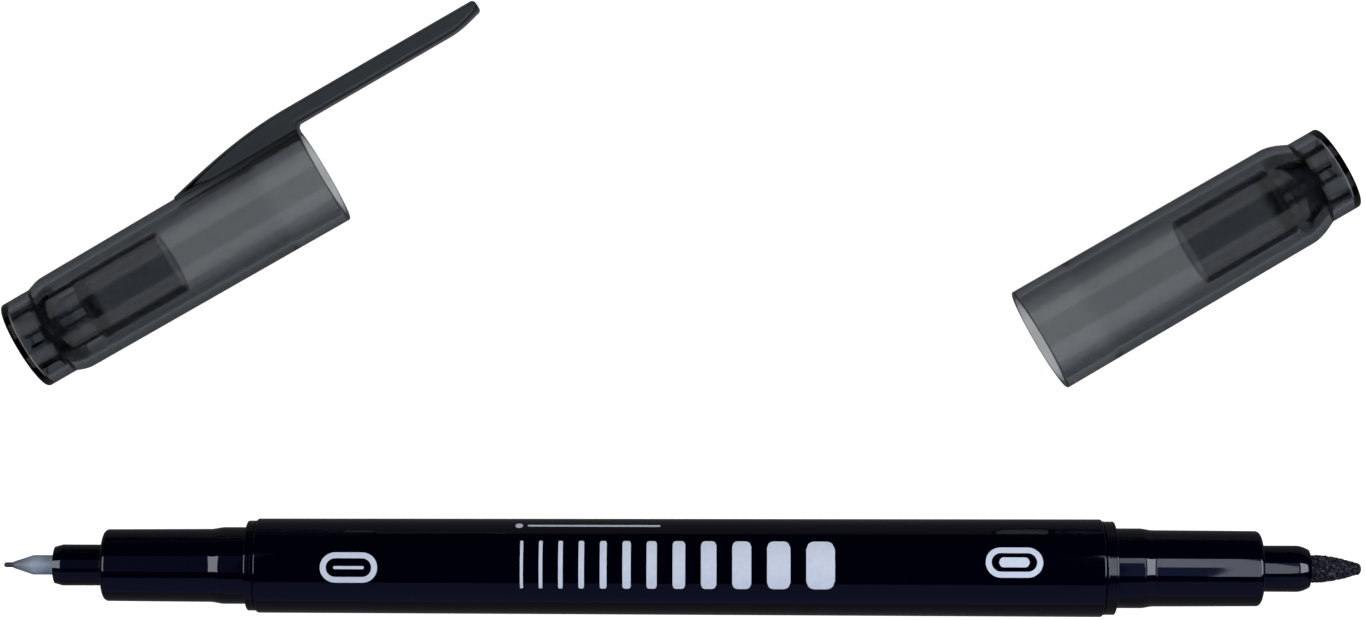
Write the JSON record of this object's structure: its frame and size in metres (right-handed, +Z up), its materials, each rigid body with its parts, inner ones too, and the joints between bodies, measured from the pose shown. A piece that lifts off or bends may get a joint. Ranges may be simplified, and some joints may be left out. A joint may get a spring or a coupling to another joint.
{
  "type": "felt tip marker",
  "caption": "Twin-tip felt marker with a fine plastic point and a bullet nib, laid flat with its clipped cap and its plain cap taken off beside it.",
  "frame": {"origin": "on the surface the set lies on, below the middle of the barrel", "axes": "+X along the marker towards its bullet nib, +Y towards the loose caps, +Z up from the surface"},
  "size_m": [0.1391, 0.0627, 0.0112],
  "materials": {
    "barrel_black": "gloss black with a faint blue cast",
    "section_black": "gloss black",
    "sleeve_grey": "satin milky grey",
    "point_black": "ink-wet plastic",
    "felt": "pressed charcoal felt",
    "fibre": "inked fibre",
    "film": "clear film",
    "smoky_plastic": "translucent smoky grey"
  },
  "bodies": {
    "marker": {"barrel": "barrel_black", "ink_reservoir": "fibre", "reservoir_film": "film", "fine_section": "section_black", "fine_nib_sleeve": "sleeve_grey", "fine_point": "point_black", "fine_feed": "fibre", "bullet_section": "section_black", "bullet_nib": "felt"},
    "clip_cap": {"clip_cap_shell": "smoky_plastic", "clip_cap_inner_cap": "smoky_plastic"},
    "clip_blade": {"pocket_clip": "smoky_plastic"},
    "plain_cap": {"plain_cap_shell": "smoky_plastic", "plain_cap_inner_cap": "smoky_plastic"}
  },
  "joints": [
    {"name": "clip_cap_line_up", "type": "hinge", "parent": "marker", "child": "clip_cap", "pos_m": [-0.13306, 0.10255, 0], "axis": [0, 0, -1], "range_deg": [0, 30.3]},
    {"name": "clip_flex", "type": "hinge", "parent": "clip_cap", "child": "clip_blade", "pos_m": [-0.0398, 0.04585, 0.00542], "axis": [0, 0, 1], "range_deg": [0, 4], "stiffness_Nm_per_rad": 0.5},
    {"name": "plain_cap_line_up", "type": "hinge", "parent": "marker", "child": "plain_cap", "pos_m": [0.01622, -0.07163, 0], "axis": [0, 0, -1], "range_deg": [0, 30.3]}
  ]
}
